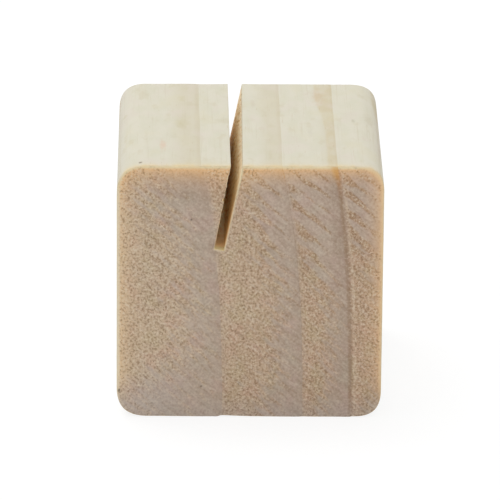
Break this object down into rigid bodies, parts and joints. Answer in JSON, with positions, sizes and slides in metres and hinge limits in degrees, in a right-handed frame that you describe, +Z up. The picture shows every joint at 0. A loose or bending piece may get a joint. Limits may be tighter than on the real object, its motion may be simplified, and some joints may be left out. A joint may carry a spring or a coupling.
{
  "type": "wooden photo block holder",
  "caption": "Solid softwood cube with rounded long edges and a leaning saw cut across its top that grips a print or card upright.",
  "frame": {"origin": "centre of the face that the block stands on", "axes": "+Z up, +Y along the grain from the front end to the back end, +X across the grain, the way that the saw cut's mouth leans from its floor"},
  "size_m": [0.05, 0.05, 0.05],
  "materials": {
    "wood": "matte"
  },
  "bodies": {
    "root": {"wood_block": "wood"}
  },
  "joints": []
}
